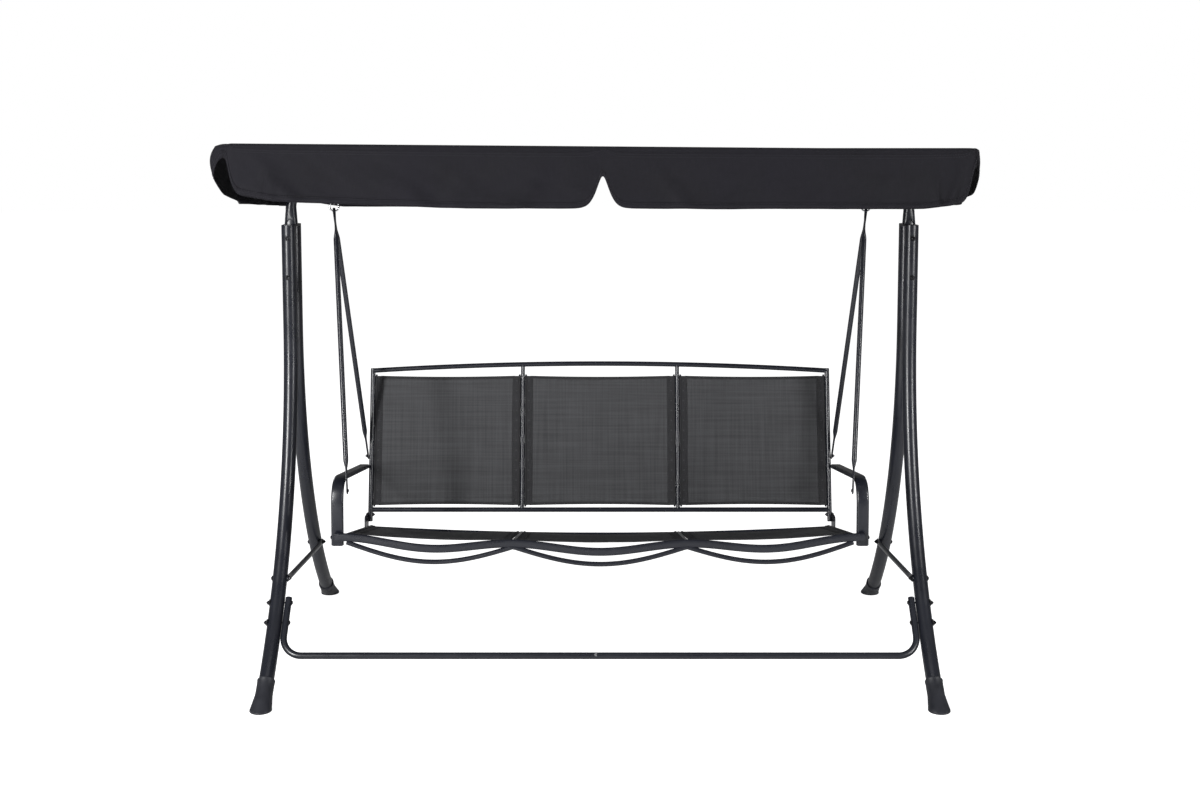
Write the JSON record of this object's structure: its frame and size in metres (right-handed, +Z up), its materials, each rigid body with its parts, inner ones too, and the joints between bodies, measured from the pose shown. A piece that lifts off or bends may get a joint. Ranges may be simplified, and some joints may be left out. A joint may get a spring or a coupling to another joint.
{
  "type": "canopy garden swing",
  "caption": "Free-standing metal garden swing: a mesh bench with a high back hangs by V-shaped rods from a tube frame with a tilting fabric canopy.",
  "frame": {"origin": "on the ground under the middle of the swing, between its four feet", "axes": "+X along the seat to the right of someone looking at the front, +Y from front to back, +Z up"},
  "size_m": [2.16, 1.199, 1.6331],
  "materials": {
    "steel": "satin",
    "bolt": "satin",
    "chrome": "polished",
    "plastic": "matte",
    "sling": "matte",
    "cover": "matte"
  },
  "bodies": {
    "frame": {"apex_bracket_left": "steel", "apex_bracket_right": "steel", "canopy_bracket_left": "steel", "canopy_bracket_right": "steel", "canopy_knob_left": "plastic", "canopy_knob_right": "plastic", "crossbar_bolt_lower_left": "bolt", "crossbar_bolt_lower_right": "bolt", "crossbar_bolt_upper_left": "bolt", "crossbar_bolt_upper_right": "bolt", "foot_cap_front_left": "plastic", "foot_cap_front_right": "plastic", "foot_cap_rear_left": "plastic", "foot_cap_rear_right": "plastic", "hanger_eye_left": "chrome", "hanger_eye_right": "chrome", "leg_bolt_front_lower_left": "bolt", "leg_bolt_front_lower_right": "bolt", "leg_bolt_front_upper_left": "bolt", "leg_bolt_front_upper_right": "bolt", "leg_bolt_rear_lower_left": "bolt", "leg_bolt_rear_lower_right": "bolt", "leg_bolt_rear_upper_left": "bolt", "leg_bolt_rear_upper_right": "bolt", "leg_front_left": "steel", "leg_front_right": "steel", "leg_rear_left": "steel", "leg_rear_right": "steel", "lower_crossbar_left": "steel", "lower_crossbar_right": "steel", "side_tie_left": "steel", "side_tie_right": "steel", "top_beam_left": "steel", "top_beam_right": "steel"},
    "seat": {"armrest_left": "steel", "armrest_right": "steel", "back_sling_left": "sling", "back_sling_middle": "sling", "back_sling_right": "sling", "backrest_frame": "steel", "backrest_plate_left": "steel", "backrest_plate_right": "steel", "hanger_front_left": "steel", "hanger_front_right": "steel", "hanger_rear_left": "steel", "hanger_rear_right": "steel", "hanger_ring_left": "chrome", "hanger_ring_right": "chrome", "seat_frame": "steel", "seat_sling_left": "sling", "seat_sling_middle": "sling", "seat_sling_right": "sling"},
    "canopy": {"canopy_cover": "cover", "canopy_rail_front": "steel", "canopy_rail_left": "steel", "canopy_rail_rear": "steel", "canopy_rail_right": "steel", "canopy_rib_left": "steel", "canopy_rib_middle": "steel", "canopy_rib_right": "steel"}
  },
  "joints": [
    {"name": "seat_swing", "type": "hinge", "parent": "frame", "child": "seat", "pos_m": [0, 0, 1.455], "axis": [1, 0, 0], "range_deg": [-20, 20]},
    {"name": "canopy_tilt", "type": "hinge", "parent": "frame", "child": "canopy", "pos_m": [0, 0, 1.57], "axis": [1, 0, 0], "range_deg": [-12, 18]}
  ]
}
